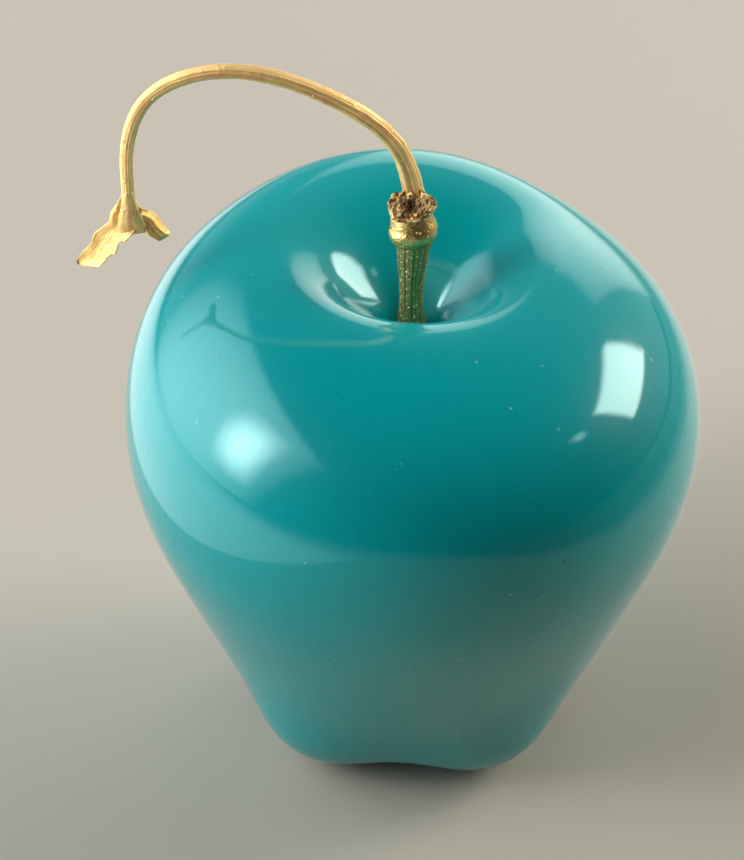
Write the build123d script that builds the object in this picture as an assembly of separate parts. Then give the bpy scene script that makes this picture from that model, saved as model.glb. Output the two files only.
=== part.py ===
"""Art glass apple: a solid apple of turquoise glass with a bonded gilt stem.

Millimetres. The origin is on the apple's axis, on the surface it stands on. +Z is up, the front is -Y,
and the stem arches over to -X. Angles round the axis start at the front and grow towards +X.
"""
import math
import os

from build123d import *

# Glass: meridian from the floor of the crown's hollow, over the crest and down to the hollow in the base
BODY_RADIUS = 42.0
EQUATOR_HEIGHT = 48.7
CROWN_HEIGHT = 80.1
CREST_RADIUS = 20.4
HOLLOW_DEPTH = 12.6
FLOOR_RADIUS = 4.2
FLOOR_ROUND = 1.0
THROAT_RADIUS = 6.6
THROAT_DEPTH = 6.0
LIP_RADIUS = 11.2
LIP_DEPTH = 1.9
SHOULDER_INSET = 4.3
SHOULDER_DROP = 9.5
FLANK_INSET = 11.0
FLANK_HEIGHT = 15.1
TOE_INSET = 13.6
TOE_HEIGHT = 5.1
FOOT_RADIUS = 14.8
FOOT_GRIND = 1.5
BASE_HOLLOW_DEPTH = 5.0
BASE_HOLLOW_RADIUS = 3.0

# Glass: lobes of the foot; the crown's shift to the back, its dip and its lean
FOOT_LOBES = 5
FOOT_TURN = -4.3
FOOT_GROOVE_DEPTH = 4.2
FOOT_GROOVE_RISE = 4.2
FOOT_GROOVE_SHARPNESS = 9.4
GROOVE_REACH = 12.0
RISE_REACH = 7.0
CREST_BACK = 4.7
CREST_REACH = 10.5
DIP_ANGLE = 128.0
DIP_DEPTH = 1.5
DIP_SHARPNESS = 8.5
DIP_REACH = 18.0
LEAN_RIGHT = 3.3
LEAN_FRONT = 5.2

# Peg and bond
PEG_RADIUS = 1.3
PEG_IN_GLASS = 10.0
PEG_IN_SPUR = 8.0
BOND_GAP = 0.4
BOND_UNDER_PEG = 1.0

# Spur, knuckle and bud scar
SPUR_HEIGHT = 17.5
SPUR_FOOT_RADIUS = 2.8
SPUR_WAIST_RADIUS = 1.75
SPUR_TOP_RADIUS = 2.6
SPUR_FLUTES = 11
FLUTE_DEPTH = 0.15
KNUCKLE_LEFT = 4.0
KNUCKLE_BACK = 9.0
KNUCKLE_HEIGHT = 4.9
KNUCKLE_RADIUS = 3.5
KNUCKLE_TOP_RADIUS = 3.5
RING_DEPTH = 0.3
SCAR_RADIUS = 3.2
SCAR_HEIGHT = 3.0
SCAR_FORWARD = 1.1
SCAR_TILT = 30.0
SCAR_CLEARANCE = 0.25
SCAR_CORNERS = 13
SCAR_RAGGED = 0.065

# Stalk
STALK_BASE_RADIUS = 1.6
STALK_RADIUS = 1.25
STALK_TIP_RADIUS = 0.9
STALK_FLARE = 0.12
STALK_RIGHT = 0.3
STALK_BACK = 1.35
SOCKET_DEPTH = 0.8
SOLDER_GAP = 0.1
ARCH_REACH = 40.5
ARCH_RISE = 24.8
TIP_DROP = 20.3
# Shape of the arch between base and tip: shares of the reach, and of the rise below the top
ARCH_SHAPE = ((0.08, 0.455), (0.32, 0.146), (0.69, 0.0), (0.91, 0.16), (0.998, 0.52))

# Fork and bracts
FORK_LENGTH = 6.6
FORK_WIDTH = 4.2
FORK_THICKNESS = 1.5
FORK_SIDES = 12
LEAF_SHEET = 0.7
LEAF_ROOT_DROP = 4.0
LARGE_LEAF_LENGTH = 11.4
LARGE_LEAF_WIDTH = 4.6
LARGE_LEAF_ANGLE = 228.0
LARGE_LEAF_CURL = 6.0
SMALL_LEAF_LENGTH = 6.4
SMALL_LEAF_WIDTH = 3.2
SMALL_LEAF_ANGLE = -40.0
SMALL_LEAF_CURL = 3.0

# Fineness of the curved surfaces
BODY_STATIONS = 40
LOBE_POINTS = 4
STALK_STATIONS = 19
SPUR_STATIONS = 8

FLOOR_HEIGHT = CROWN_HEIGHT - HOLLOW_DEPTH
TOE_RADIUS = BODY_RADIUS - TOE_INSET
BORE_RADIUS = PEG_RADIUS + BOND_GAP
BORE_DEPTH = PEG_IN_GLASS + BOND_UNDER_PEG


def slope(angle):
    return math.tan(math.radians(angle))


def swell(angle, centre, sharpness):
    """Smooth bump round the axis: one at the centre angle, falling away on both sides."""
    return math.exp(sharpness * (math.cos(math.radians(angle - centre)) - 1))


def nearness(radius, height, place, reach):
    """One at a place on the meridian, falling away over the reach."""
    gap = math.hypot(radius - place[0], height - place[1])
    return math.exp(-((gap / reach) ** 2))


def closed_curve(points):
    return Wire([Spline(*points, periodic=True)])


def upright(radius, height, foot):
    """Cylinder on the axis, standing on a height."""
    return Pos(0, 0, foot) * Cylinder(radius, height, align=(Align.CENTER, Align.CENTER, Align.MIN))


def glass_ring(radius, height, plain):
    """Closed curve round the glass, with its grooves, shift, dip and lean unless it is a plain end."""
    sole = ((TOE_RADIUS + FOOT_RADIUS) / 2 + FOOT_GRIND, 0)
    crest = (CREST_RADIUS, CROWN_HEIGHT)
    groove = FOOT_GROOVE_DEPTH * nearness(radius, height, (TOE_RADIUS, TOE_HEIGHT), GROOVE_REACH)
    rise = FOOT_GROOVE_RISE * nearness(radius, height, sole, RISE_REACH)
    shift = CREST_BACK * nearness(radius, height, crest, CREST_REACH)
    dip = DIP_DEPTH * nearness(radius, height, crest, DIP_REACH)
    lean = min(max((height - EQUATOR_HEIGHT) / (CROWN_HEIGHT - EQUATOR_HEIGHT), 0), 1)
    if plain:
        groove = rise = shift = dip = lean = 0
    points = []
    steps = FOOT_LOBES * LOBE_POINTS
    for step in range(steps):
        angle = FOOT_TURN + 360 * step / steps
        grooved = sum(
            swell(angle, FOOT_TURN + 360 * lobe / FOOT_LOBES, FOOT_GROOVE_SHARPNESS)
            for lobe in range(FOOT_LOBES)
        )
        out = radius - groove * grooved
        right = out * math.sin(math.radians(angle))
        front = out * math.cos(math.radians(angle)) - shift
        sink = lean * (right * slope(LEAN_RIGHT) + front * slope(LEAN_FRONT))
        sink += dip * swell(angle, DIP_ANGLE, DIP_SHARPNESS)
        points.append((right, -front, height + rise * grooved - sink))
    return closed_curve(points)


def make_glass_body():
    """Lobed apple lofted through rings along its meridian, ground flat below and bored for the peg."""
    meridian = Spline(
        (FLOOR_RADIUS, FLOOR_HEIGHT),
        (FLOOR_RADIUS + FLOOR_ROUND, FLOOR_HEIGHT + FLOOR_ROUND),
        (THROAT_RADIUS, CROWN_HEIGHT - THROAT_DEPTH),
        (LIP_RADIUS, CROWN_HEIGHT - LIP_DEPTH),
        (CREST_RADIUS, CROWN_HEIGHT),
        (BODY_RADIUS - SHOULDER_INSET, CROWN_HEIGHT - SHOULDER_DROP),
        (BODY_RADIUS, EQUATOR_HEIGHT),
        (BODY_RADIUS - FLANK_INSET, FLANK_HEIGHT),
        (TOE_RADIUS, TOE_HEIGHT),
        (FOOT_RADIUS, -FOOT_GRIND),
        (0.6 * FOOT_RADIUS, 0.4 * BASE_HOLLOW_DEPTH),
        (BASE_HOLLOW_RADIUS, BASE_HOLLOW_DEPTH),
    )
    last = BODY_STATIONS - 1
    rings = []
    for step in range(BODY_STATIONS):
        place = meridian.position_at(step / last)
        rings.append(glass_ring(place.X, place.Y, plain=step in (0, last)))
    apple = Solid.make_loft(rings, ruled=True)
    ground = Pos(0, 0, -BODY_RADIUS) * Box(4 * BODY_RADIUS, 4 * BODY_RADIUS, 2 * BODY_RADIUS)
    return apple - ground - upright(BORE_RADIUS, BORE_DEPTH, FLOOR_HEIGHT - BORE_DEPTH)


def make_stem_peg():
    """Dowel from the bore of the glass up into the spur."""
    return upright(PEG_RADIUS, PEG_IN_GLASS + PEG_IN_SPUR, FLOOR_HEIGHT - PEG_IN_GLASS)


def make_peg_adhesive():
    """Cured bond that fills the bore round and under the peg."""
    return upright(BORE_RADIUS, BORE_DEPTH, FLOOR_HEIGHT - BORE_DEPTH) - make_stem_peg()


def knuckle_plane(height):
    """Plane across the knuckle, at a height along its leaning axis above the spur."""
    seat = Plane((0, 0, FLOOR_HEIGHT + SPUR_HEIGHT)).rotated((-KNUCKLE_BACK, -KNUCKLE_LEFT, 0))
    return seat.offset(height)


def cornered_ring(plane, corners):
    """Closed ring of straight sides; a corner is a turn in a plane with its reach across and along."""
    places = []
    for turn, across, along in corners:
        places.append(plane.from_local_coords(Vector(across * math.cos(turn), along * math.sin(turn), 0)))
    return Wire(Polyline(*places, close=True).edges())


def fluted_ring(plane, radius):
    """Ring round the spur with a corner on each ridge and in each flute."""
    corners = []
    for step in range(2 * SPUR_FLUTES):
        out = radius - FLUTE_DEPTH * (step % 2)
        corners.append((math.pi * step / SPUR_FLUTES, out, out))
    return cornered_ring(plane, corners)


def make_stem_spur():
    """Fluted, waisted post with a flared foot; its top leans to meet the knuckle."""
    sizes = Spline(
        (0, SPUR_FOOT_RADIUS),
        (0.15 * SPUR_HEIGHT, 0.45 * SPUR_FOOT_RADIUS + 0.55 * SPUR_WAIST_RADIUS),
        (0.5 * SPUR_HEIGHT, SPUR_WAIST_RADIUS),
        (SPUR_HEIGHT, SPUR_TOP_RADIUS),
    )
    rings = []
    for step in range(SPUR_STATIONS - 1):
        size = sizes.position_at(step / (SPUR_STATIONS - 1))
        rings.append(fluted_ring(Plane.XY.offset(FLOOR_HEIGHT + size.X), size.Y))
    rings.append(fluted_ring(knuckle_plane(0), SPUR_TOP_RADIUS))
    return Solid.make_loft(rings, ruled=True) - make_stem_peg()


def stalk_socket(clearance):
    """Round space along the foot of the stalk, from its seat in the knuckle out through the scar."""
    line = arch_line()
    seat = Plane(line @ 0, z_dir=line % 0)
    length = 2 * (SOCKET_DEPTH + SCAR_HEIGHT)
    radius = STALK_BASE_RADIUS + clearance
    return seat * Cylinder(radius, length, align=(Align.CENTER, Align.CENTER, Align.MIN))


def make_spur_knuckle():
    """Collar of two stepped rings, turned about its leaning axis, with a socket for the stalk."""
    outline = Polyline(
        (0, 0, 0),
        (SPUR_TOP_RADIUS, 0, 0),
        (KNUCKLE_RADIUS - RING_DEPTH, 0, 0.18 * KNUCKLE_HEIGHT),
        (KNUCKLE_RADIUS - 2 * RING_DEPTH, 0, 0.34 * KNUCKLE_HEIGHT),
        (KNUCKLE_RADIUS, 0, 0.48 * KNUCKLE_HEIGHT),
        (KNUCKLE_RADIUS, 0, 0.66 * KNUCKLE_HEIGHT),
        (KNUCKLE_TOP_RADIUS - RING_DEPTH, 0, 0.84 * KNUCKLE_HEIGHT),
        (KNUCKLE_TOP_RADIUS, 0, KNUCKLE_HEIGHT),
        (0, 0, KNUCKLE_HEIGHT),
        close=True,
    )
    return knuckle_plane(0) * revolve(make_face(outline), Axis.Z) - stalk_socket(SOLDER_GAP)


def make_bud_scar():
    """Ragged pad on the front of the knuckle's top, tilted to the front and open round the foot of the stalk."""
    rings = []
    for share, size in ((0, 0.9), (0.5, 1.06), (1, 0.84)):
        level = knuckle_plane(KNUCKLE_HEIGHT + share * SCAR_HEIGHT).rotated((share * SCAR_TILT, 0, 0))
        corners = []
        for step in range(SCAR_CORNERS):
            turn = 2 * math.pi * step / SCAR_CORNERS
            ragged = 1 + SCAR_RAGGED * (math.sin(3 * turn + 1) + math.sin(5 * turn + 2))
            out = SCAR_RADIUS * size * ragged
            corners.append((turn, out, out))
        rings.append(cornered_ring(level.move(Pos(level.y_dir * -SCAR_FORWARD)), corners))
    pad = Solid.make_loft(rings, ruled=True) - stalk_socket(SCAR_CLEARANCE)
    return max(pad.solids(), key=lambda piece: piece.volume)


def arch_line():
    """Centre line of the stalk: up from its seat in the knuckle, over to the left and down to the tip."""
    floor = knuckle_plane(KNUCKLE_HEIGHT - SOCKET_DEPTH)
    base = floor.from_local_coords(Vector(STALK_RIGHT, STALK_BACK, 0))
    top = base.Z + ARCH_RISE
    bends = [(-out * ARCH_REACH, 0, top - drop * ARCH_RISE) for out, drop in ARCH_SHAPE]
    return Spline(base, *bends, (-ARCH_REACH, 0, top - TIP_DROP))


def make_pedicel_arch():
    """Tapering stalk along the arch, with a swollen foot in the knuckle's socket."""
    line = arch_line()
    rings = []
    for step in range(STALK_STATIONS):
        share = step / (STALK_STATIONS - 1)
        flare = (STALK_BASE_RADIUS - STALK_RADIUS) * math.exp(-share / STALK_FLARE)
        radius = STALK_RADIUS + (STALK_TIP_RADIUS - STALK_RADIUS) * share + flare
        level = Plane(line @ share, x_dir=(0, 1, 0), z_dir=line % share)
        rings.append(Wire([Edge.make_circle(radius, level)]))
    return Solid.make_loft(rings, ruled=True)


def make_tip_fork():
    """Flattened swelling that opens downwards from the stalk's end to carry the bracts."""
    line = arch_line()
    down = line % 1
    stages = (
        (0.0, 2 * STALK_TIP_RADIUS, 2 * STALK_TIP_RADIUS),
        (0.35, 0.55 * FORK_WIDTH, FORK_THICKNESS),
        (0.7, 0.85 * FORK_WIDTH, FORK_THICKNESS),
        (1.0, FORK_WIDTH, 0.6 * FORK_THICKNESS),
    )
    rings = []
    for share, width, thickness in stages:
        level = Plane(line @ 1 + down * share * FORK_LENGTH, x_dir=(0, 1, 0), z_dir=down)
        turns = [2 * math.pi * step / FORK_SIDES for step in range(FORK_SIDES)]
        rings.append(cornered_ring(level, [(turn, thickness / 2, width / 2) for turn in turns]))
    return Solid.make_loft(rings, ruled=True)


def make_leaf(outline, angle, curl, ridge, fork):
    """Thin leaf from the fork: an outline cut from a sheet that is rolled about a ridge along the leaf."""
    along = Vector(math.cos(math.radians(angle)), 0, math.sin(math.radians(angle)))
    flat = Plane(arch_line() @ 1 - Vector(0, 0, LEAF_ROOT_DROP), x_dir=along, z_dir=(0, -1, 0))
    block = extrude(make_face(Polyline(*outline, close=True)), 2 * curl, both=True)
    span = 4 * block.bounding_box().diagonal
    tube = Cylinder(curl, span) - Cylinder(curl - LEAF_SHEET, span)
    front = Pos(0, 0, curl) * Box(span, span, 2 * curl)
    sheet = Pos(0, ridge, LEAF_SHEET / 2 - curl) * (Rot(0, 90, 0) * tube & front)
    leaf = flat * (block & sheet) - fork
    return max(leaf.solids(), key=lambda piece: piece.volume)


def make_large_bract(fork):
    """Long leaf with a wavy upper edge, a blunt tip and a toothed lower edge."""
    shape = (
        (-0.1, -0.55), (0.15, -0.43), (0.33, -0.34), (0.54, -0.44), (0.7, -0.28), (0.97, -0.28),
        (1.0, -0.08), (0.86, 0.49), (0.69, 0.4), (0.59, 0.55), (0.41, 0.36), (0.31, 0.47), (0.1, 0.45),
    )
    outline = [(along * LARGE_LEAF_LENGTH, across * LARGE_LEAF_WIDTH) for along, across in shape]
    return make_leaf(outline, LARGE_LEAF_ANGLE, LARGE_LEAF_CURL, 0, fork)


def make_small_bract(fork):
    """Short folded leaf with a square-cut end."""
    shape = (
        (0, 0.85), (0.25, 0.87), (0.45, 0.79), (1.0, 0.45),
        (0.93, -0.16), (0.66, -0.2), (0.35, -0.4), (0.05, -0.3),
    )
    outline = [(along * SMALL_LEAF_LENGTH, across * SMALL_LEAF_WIDTH) for along, across in shape]
    return make_leaf(outline, SMALL_LEAF_ANGLE, SMALL_LEAF_CURL, SMALL_LEAF_WIDTH / 3, fork)


def main():
    fork = make_tip_fork()
    pieces = {
        "glass_body": make_glass_body(),
        "peg_adhesive": make_peg_adhesive(),
        "stem_peg": make_stem_peg(),
        "stem_spur": make_stem_spur(),
        "spur_knuckle": make_spur_knuckle(),
        "bud_scar": make_bud_scar(),
        "pedicel_arch": make_pedicel_arch(),
        "tip_fork": fork,
        "large_bract": make_large_bract(fork),
        "small_bract": make_small_bract(fork),
    }
    os.makedirs("parts", exist_ok=True)
    for name, piece in pieces.items():
        export_step(piece, f"parts/{name}.step")


if __name__ == "__main__":
    main()
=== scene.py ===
"""Looks for the art glass apple: turquoise glass, gilt stem, paper floor and soft studio light."""

import math
import random

import bpy
import numpy as np
from mathutils import Matrix, Vector, noise


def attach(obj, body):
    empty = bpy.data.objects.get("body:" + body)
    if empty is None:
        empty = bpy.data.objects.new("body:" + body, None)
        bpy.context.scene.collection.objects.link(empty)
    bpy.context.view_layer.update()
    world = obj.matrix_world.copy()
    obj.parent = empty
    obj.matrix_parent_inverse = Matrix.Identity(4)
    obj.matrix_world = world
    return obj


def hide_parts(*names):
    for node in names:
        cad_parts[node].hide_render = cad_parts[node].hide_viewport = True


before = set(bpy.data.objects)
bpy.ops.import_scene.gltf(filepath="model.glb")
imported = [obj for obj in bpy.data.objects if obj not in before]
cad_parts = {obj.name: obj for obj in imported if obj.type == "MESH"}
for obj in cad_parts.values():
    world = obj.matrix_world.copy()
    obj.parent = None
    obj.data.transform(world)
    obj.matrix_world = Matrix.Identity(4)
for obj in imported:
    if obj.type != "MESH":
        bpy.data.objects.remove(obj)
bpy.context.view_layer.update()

# Sizes are in millimetres and angles in degrees, on the part's own frame; MM turns sizes into metres
MM = 0.001

# Glass: knots of the meridian from the crown's hollow to the base, and the points along it and around
BODY_RADIUS = 42.0
EQUATOR_HEIGHT = 48.7
CROWN_HEIGHT = 80.1
CREST_RADIUS = 20.4
HOLLOW_DEPTH = 12.6
FLOOR_HEIGHT = CROWN_HEIGHT - HOLLOW_DEPTH
SOCKET_RADIUS = 3.3
CONE_RISE = 1.2
CONE_KNOTS = ((4.7, 71.6), (7.0, 74.7))
LIP_RADIUS = 11.2
LIP_DEPTH = 1.9
SHOULDER_INSET = 4.3
SHOULDER_DROP = 9.5
FLANK_INSET = 11.0
FLANK_HEIGHT = 15.1
TOE_INSET = 13.6
TOE_HEIGHT = 5.1
FOOT_RADIUS = 14.8
FOOT_GRIND = 1.5
BASE_HOLLOW_DEPTH = 5.0
BASE_HOLLOW_RADIUS = 3.0
BASE_SLOPE_RADIUS = 0.6 * FOOT_RADIUS
BASE_SLOPE_HEIGHT = 0.4 * BASE_HOLLOW_DEPTH
GLASS_STATIONS = 260
GLASS_AROUND = 300

# Glass: lobes of the foot, dip in the crest, wider near lip and lean of the crown
FOOT_LOBES = 5
FOOT_TURN = -4.3
FOOT_GROOVE_DEPTH = 4.2
FOOT_GROOVE_RISE = 4.2
FOOT_GROOVE_SHARPNESS = 9.4
GROOVE_REACH = 12.0
RISE_REACH = 7.0
CREST_BACK = 4.7
CREST_REACH = 10.5
DIP_ANGLE = 128.0
DIP_DEPTH = 1.5
DIP_SHARPNESS = 8.5
DIP_REACH = 18.0
LIP_WIDENING = 0.3
LIP_FULL = 9.0
LIP_END = 22.0
WALL_PUSH = 1.2
WALL_MIDDLE = 7.2
WALL_SPREAD = 2.9
LEAN_RIGHT = 3.3
LEAN_FRONT = 5.2

# Fields of raised grains: count, seed, range of sizes and range of heights; a grain ends at some sizes away
STALK_GRAINS = (150, 3, (0.12, 0.25), (0.03, 0.14))
SPUR_GRAINS = (520, 5, (0.07, 0.15), (0.05, 0.16))
COLLAR_GRAINS = (150, 11, (0.1, 0.2), (0.03, 0.13))
GRAIN_REACH = 3

# Uneven surfaces: how the finer waves fall off, how much finer each is, and how many there are
NOISE_FALL = 0.9
NOISE_STEP = 2.1
NOISE_WAVES = 4

# Spur and collar; the collar's outline is insets from its radius, at shares of its height
SPUR_HEIGHT = 17.5
SPUR_FOOT_RADIUS = 2.8
SPUR_WAIST_RADIUS = 1.75
SPUR_WAIST_HEIGHT = 0.5 * SPUR_HEIGHT
SPUR_KNEE_RADIUS = 0.45 * SPUR_FOOT_RADIUS + 0.55 * SPUR_WAIST_RADIUS
SPUR_KNEE_HEIGHT = 0.15 * SPUR_HEIGHT
SPUR_TOP_RADIUS = 2.6
SPUR_FLUTES = 11
SPUR_BEND = 0.35
SPUR_LEAN_POWER = 6
FLUTE_DEPTH = 0.15
FINE_FLUTE_SHARE = 0.35
KNUCKLE_LEFT = 4.0
KNUCKLE_BACK = 9.0
KNUCKLE_HEIGHT = 4.9
KNUCKLE_RADIUS = 3.5
KNUCKLE_INSETS = ((0.4, 0.13), (0.02, 0.32), (0.06, 0.48), (0.4, 0.78), (0.6, 1.0))
KNUCKLE_UNEVEN = 0.16
COLLAR_GRAIN_BAND = 0.3

# Bud scar: a crust that leans forward; each hollow has a place on its face, squared spreads and a depth
SCAR_RADIUS = 3.2
SCAR_SWELL = 0.1
SCAR_FOOT_SHARE = 0.95
SCAR_FOOT_SQUASH = 0.95
SCAR_FACE_SHARE = 0.97
SCAR_FACE_POWER = 1.2
SCAR_CORE_SHARE = 0.01
SCAR_RAGGED = 0.16
SCAR_WAVES = 0.05
CRUST_TILT = 52.0
CRUST_LENGTH = 2.6
CRUST_FORWARD = 2.3
CRUST_RISE = 2.0
CRUST_LEVEL = 0.25
CRUST_HOLLOWS = (((0.3, -0.2), (1.1, 1.1), 0.9), ((0.0, -1.7), (4.0, 0.12), 0.72))
CRUMB_ON_RIM = 0.3
CRUMB_ON_FACE = 0.42
FINE_CRUMB_SHARE = 0.7

# Stalk; ridges are depth, count and twist, and furrows are angle and depth, as shares of its radius
STALK_BASE_RADIUS = 1.6
STALK_RADIUS = 1.25
STALK_TIP_RADIUS = 0.9
STALK_FLARE = 0.12
STALK_RIGHT = 0.3
STALK_BACK = 1.35
STALK_UNEVEN = 0.05
BASE_RIGHT = 0.5
FOOT_FLARE = 0.3
FOOT_FLARE_REACH = 0.03
RIDGES = ((0.05, 6, 2.0), (0.025, 13, -3.0))
FURROWS = ((-82.0, 0.09), (-130.0, 0.07), (-40.0, 0.06))
FURROW_SHARPNESS = 26.0
SOCKET_DEPTH = 0.8
ARCH_REACH = 40.5
ARCH_RISE = 24.8
TIP_DROP = 20.3
ARCH_SHAPE = ((0.08, 0.455), (0.32, 0.146), (0.69, 0.0), (0.91, 0.16), (0.998, 0.52))

# Fork and leaves; a stage is a share along the fork, and its reaches as shares of width and thickness
FORK_LENGTH = 6.6
FORK_WIDTH = 4.2
FORK_THICKNESS = 1.5
FORK_START = -0.08
FORK_STAGES = ((0.12, 0.25, 0.58), (0.4, 0.34, 0.52), (0.75, 0.44, 0.44), (0.97, 0.46, 0.3), (1.0, 0.4, 0.1))
FORK_UNEVEN = 0.10
LEAF_SHEET = 0.7
LEAF_EDGE_SHARE = 0.30
LEAF_MIDDLE_SHARE = 0.12
LEAF_WAVE = 0.07
LEAF_ROOT_DROP = 4.0
TWIST_START = -0.1
TWIST_RUN = 0.4
LARGE_LEAF_LENGTH = 11.4
LARGE_LEAF_WIDTH = 4.6
LARGE_LEAF_ANGLE = 228.0
LARGE_LEAF_TWIST = 33.0
LARGE_LEAF_BULGE = -0.3
LARGE_LEAF_FOLD = 0.7
LARGE_LEAF_DROOP = 0.5
SMALL_LEAF_LENGTH = 6.4
SMALL_LEAF_WIDTH = 3.2
SMALL_LEAF_ANGLE = -40.0
SMALL_LEAF_TWIST = -40.0
SMALL_LEAF_BULGE = 0.2
SMALL_LEAF_CREASE = 0.35
SMALL_LEAF_DROOP = 0.2

# Colours of the finishes, as linear light
GLASS_DEEP = (0.0, 0.265, 0.28, 1)
GLASS_BRIGHT = (0.0, 0.285, 0.302, 1)
GLASS_SHEEN = (0.56, 1.0, 0.99, 1)
GLASS_DUST = (0.4, 0.6, 0.58, 1)
GLASS_PIT = (0.01, 0.06, 0.07, 1)
# Pale gold of the raised grains, partly painted glint
GRAIN_GOLD_AND_GLINT = (1.0, 0.78, 0.36, 1)
COPPER = (0.66, 0.3, 0.11, 1)
RUST = (0.8, 0.43, 0.18, 1)
BROWN = (0.5, 0.3, 0.09, 1)
STALK_GOLD = (1.0, 0.7, 0.27, 1)
# Painted reflection: the spur's gold is painted olive and moss, the darker teal the glass round it casts on
# it
SPUR_GOLD_PAINTED_TEAL = (0.38, 0.36, 0.13, 1)
SPUR_WORN_PAINTED_TEAL = (0.22, 0.25, 0.08, 1)
COLLAR_GOLD = (0.95, 0.66, 0.24, 1)
COLLAR_BRONZE = (0.5, 0.33, 0.1, 1)
LEAF_GOLD = (0.95, 0.64, 0.23, 1)
LEAF_COPPER = (0.62, 0.34, 0.1, 1)
CRUST_BROWN = (0.36, 0.22, 0.1, 1)
CRUST_GOLD = (0.88, 0.64, 0.27, 1)
CRUST_DARK = (0.2, 0.11, 0.06, 1)
CRUMB_GOLD = (0.85, 0.7, 0.45, 1)
BRASS_BRIGHT = (0.72, 0.52, 0.24, 1)
BRASS_DULL = (0.6, 0.4, 0.17, 1)
BRASS_PIT = (0.3, 0.2, 0.09, 1)
RESIN_PALE = (0.78, 0.72, 0.55, 1)
RESIN_YELLOW = (0.7, 0.62, 0.42, 1)
BUBBLE = (0.9, 0.88, 0.8, 1)
PAPER_WARM = (0.396, 0.37, 0.323, 1)
PAPER_PALE = (0.414, 0.386, 0.336, 1)
# Painted shade in the paper: a shaded tone and a near black one further off
PAPER_SHADED = (0.31, 0.338, 0.27, 1)
PAPER_DEEP_SHADE = (0.08, 0.09, 0.085, 1)
ROOM_DARK = (0.02, 0.021, 0.023, 1)
WALL_LOW = (0.4, 0.39, 0.37, 1)
WALL_HIGH = (0.2, 0.195, 0.19, 1)

# Colours of the lamps
COOL = (0.93, 0.97, 1.0)
WARM = (1.0, 0.97, 0.9)
ROSY = (1.0, 0.9, 0.89)
PEACH = (1.0, 0.87, 0.8)

# Lamps and floor, in metres
LAMP_DISTANCE = 0.9
CARD_HEIGHT = 0.004
FLOOR_SIZE = 8.0

# Camera: height over the table, distance from the point it looks at, and lens
CAMERA_ELEVATION = 37.56
CAMERA_DISTANCE = 552.91
CAMERA_AIM = (-6.0, 0.0, 51.19)
CAMERA_LENS = 155.85


def slope(angle):
    return math.tan(math.radians(angle))


def full_turn(steps):
    """Angles evenly spread round a ring, in radians."""
    return np.arange(steps) * 2 * math.pi / steps


def smooth_curve(knots, stations):
    """Points evenly spread along the natural cubic through some knots."""
    knots = np.array(knots, float)
    gaps = np.linalg.norm(np.diff(knots, axis=0), axis=1)
    at = np.concatenate([[0], np.cumsum(gaps)])
    count = len(knots)
    system = np.eye(count)
    rates = np.zeros_like(knots)
    for i in range(1, count - 1):
        system[i, i - 1 : i + 2] = gaps[i - 1], 2 * (gaps[i - 1] + gaps[i]), gaps[i]
        rates[i] = 6 * ((knots[i + 1] - knots[i]) / gaps[i] - (knots[i] - knots[i - 1]) / gaps[i - 1])
    bend = np.linalg.solve(system, rates)
    fine = np.linspace(0, at[-1], 40 * count)
    span = np.clip(np.searchsorted(at, fine, side="right") - 1, 0, count - 2)
    gap = gaps[span][:, None]
    left = (at[span + 1] - fine)[:, None]
    right = (fine - at[span])[:, None]
    dense = bend[span] * left**3 / (6 * gap) + bend[span + 1] * right**3 / (6 * gap)
    dense += (knots[span] / gap - bend[span] * gap / 6) * left
    dense += (knots[span + 1] / gap - bend[span + 1] * gap / 6) * right
    run = np.concatenate([[0], np.cumsum(np.linalg.norm(np.diff(dense, axis=0), axis=1))])
    even = np.linspace(0, run[-1], stations)
    return np.stack([np.interp(even, run, dense[:, k]) for k in range(knots.shape[1])], axis=1)


def loft(name, rings, material):
    """Closed smooth skin over rings of points (millimetres), with a map of its run: U around, V along."""
    rings = np.array(rings, float)
    count, around = rings.shape[:2]
    points = rings.reshape(-1, 3)
    first = len(points)
    points = np.vstack([points, rings[0].mean(0), rings[-1].mean(0)])
    faces = []
    runs = []
    for i in range(count - 1):
        low = i / (count - 1)
        high = (i + 1) / (count - 1)
        for j in range(around):
            k = (j + 1) % around
            faces.append((i * around + j, i * around + k, (i + 1) * around + k, (i + 1) * around + j))
            here = j / around
            there = (j + 1) / around
            runs += [(here, low), (there, low), (there, high), (here, high)]
    last = (count - 1) * around
    for j in range(around):
        k = (j + 1) % around
        faces.append((first, k, j))
        runs += [(0.5, 0), ((j + 1) / around, 0), (j / around, 0)]
        faces.append((first + 1, last + j, last + k))
        runs += [(0.5, 1), (j / around, 1), ((j + 1) / around, 1)]
    mesh = bpy.data.meshes.new(name)
    mesh.from_pydata((points * MM).tolist(), [], faces)
    layer = mesh.uv_layers.new(name="run")
    layer.data.foreach_set("uv", np.array(runs, np.float32).ravel())
    mesh.validate()
    mesh.shade_smooth()
    mesh.materials.append(material)
    piece = bpy.data.objects.new(name, mesh)
    bpy.context.scene.collection.objects.link(piece)
    return piece


def dress(piece, node):
    """The piece stands for a solid of the frame: it hangs from the root, and the solid is hidden."""
    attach(piece, "root")
    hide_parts(node)


# Node helpers


def add(tree, kind, **settings):
    node = tree.nodes.new(kind)
    for name, value in settings.items():
        setattr(node, name, value)
    return node


def connect(tree, socket, value):
    """Lead another node's output to a socket, or set a plain value on it."""
    if isinstance(value, bpy.types.NodeSocket):
        tree.links.new(value, socket)
    else:
        socket.default_value = value


def math_node(tree, operation, *values):
    node = add(tree, "ShaderNodeMath", operation=operation)
    for socket, value in zip(node.inputs, values):
        connect(tree, socket, value)
    return node.outputs[0]


def blend_node(tree, share, first, second):
    """Colour between two colours."""
    node = add(tree, "ShaderNodeMix", data_type="RGBA")
    connect(tree, node.inputs["Factor"], share)
    connect(tree, node.inputs[6], first)
    connect(tree, node.inputs[7], second)
    return node.outputs[2]


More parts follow.
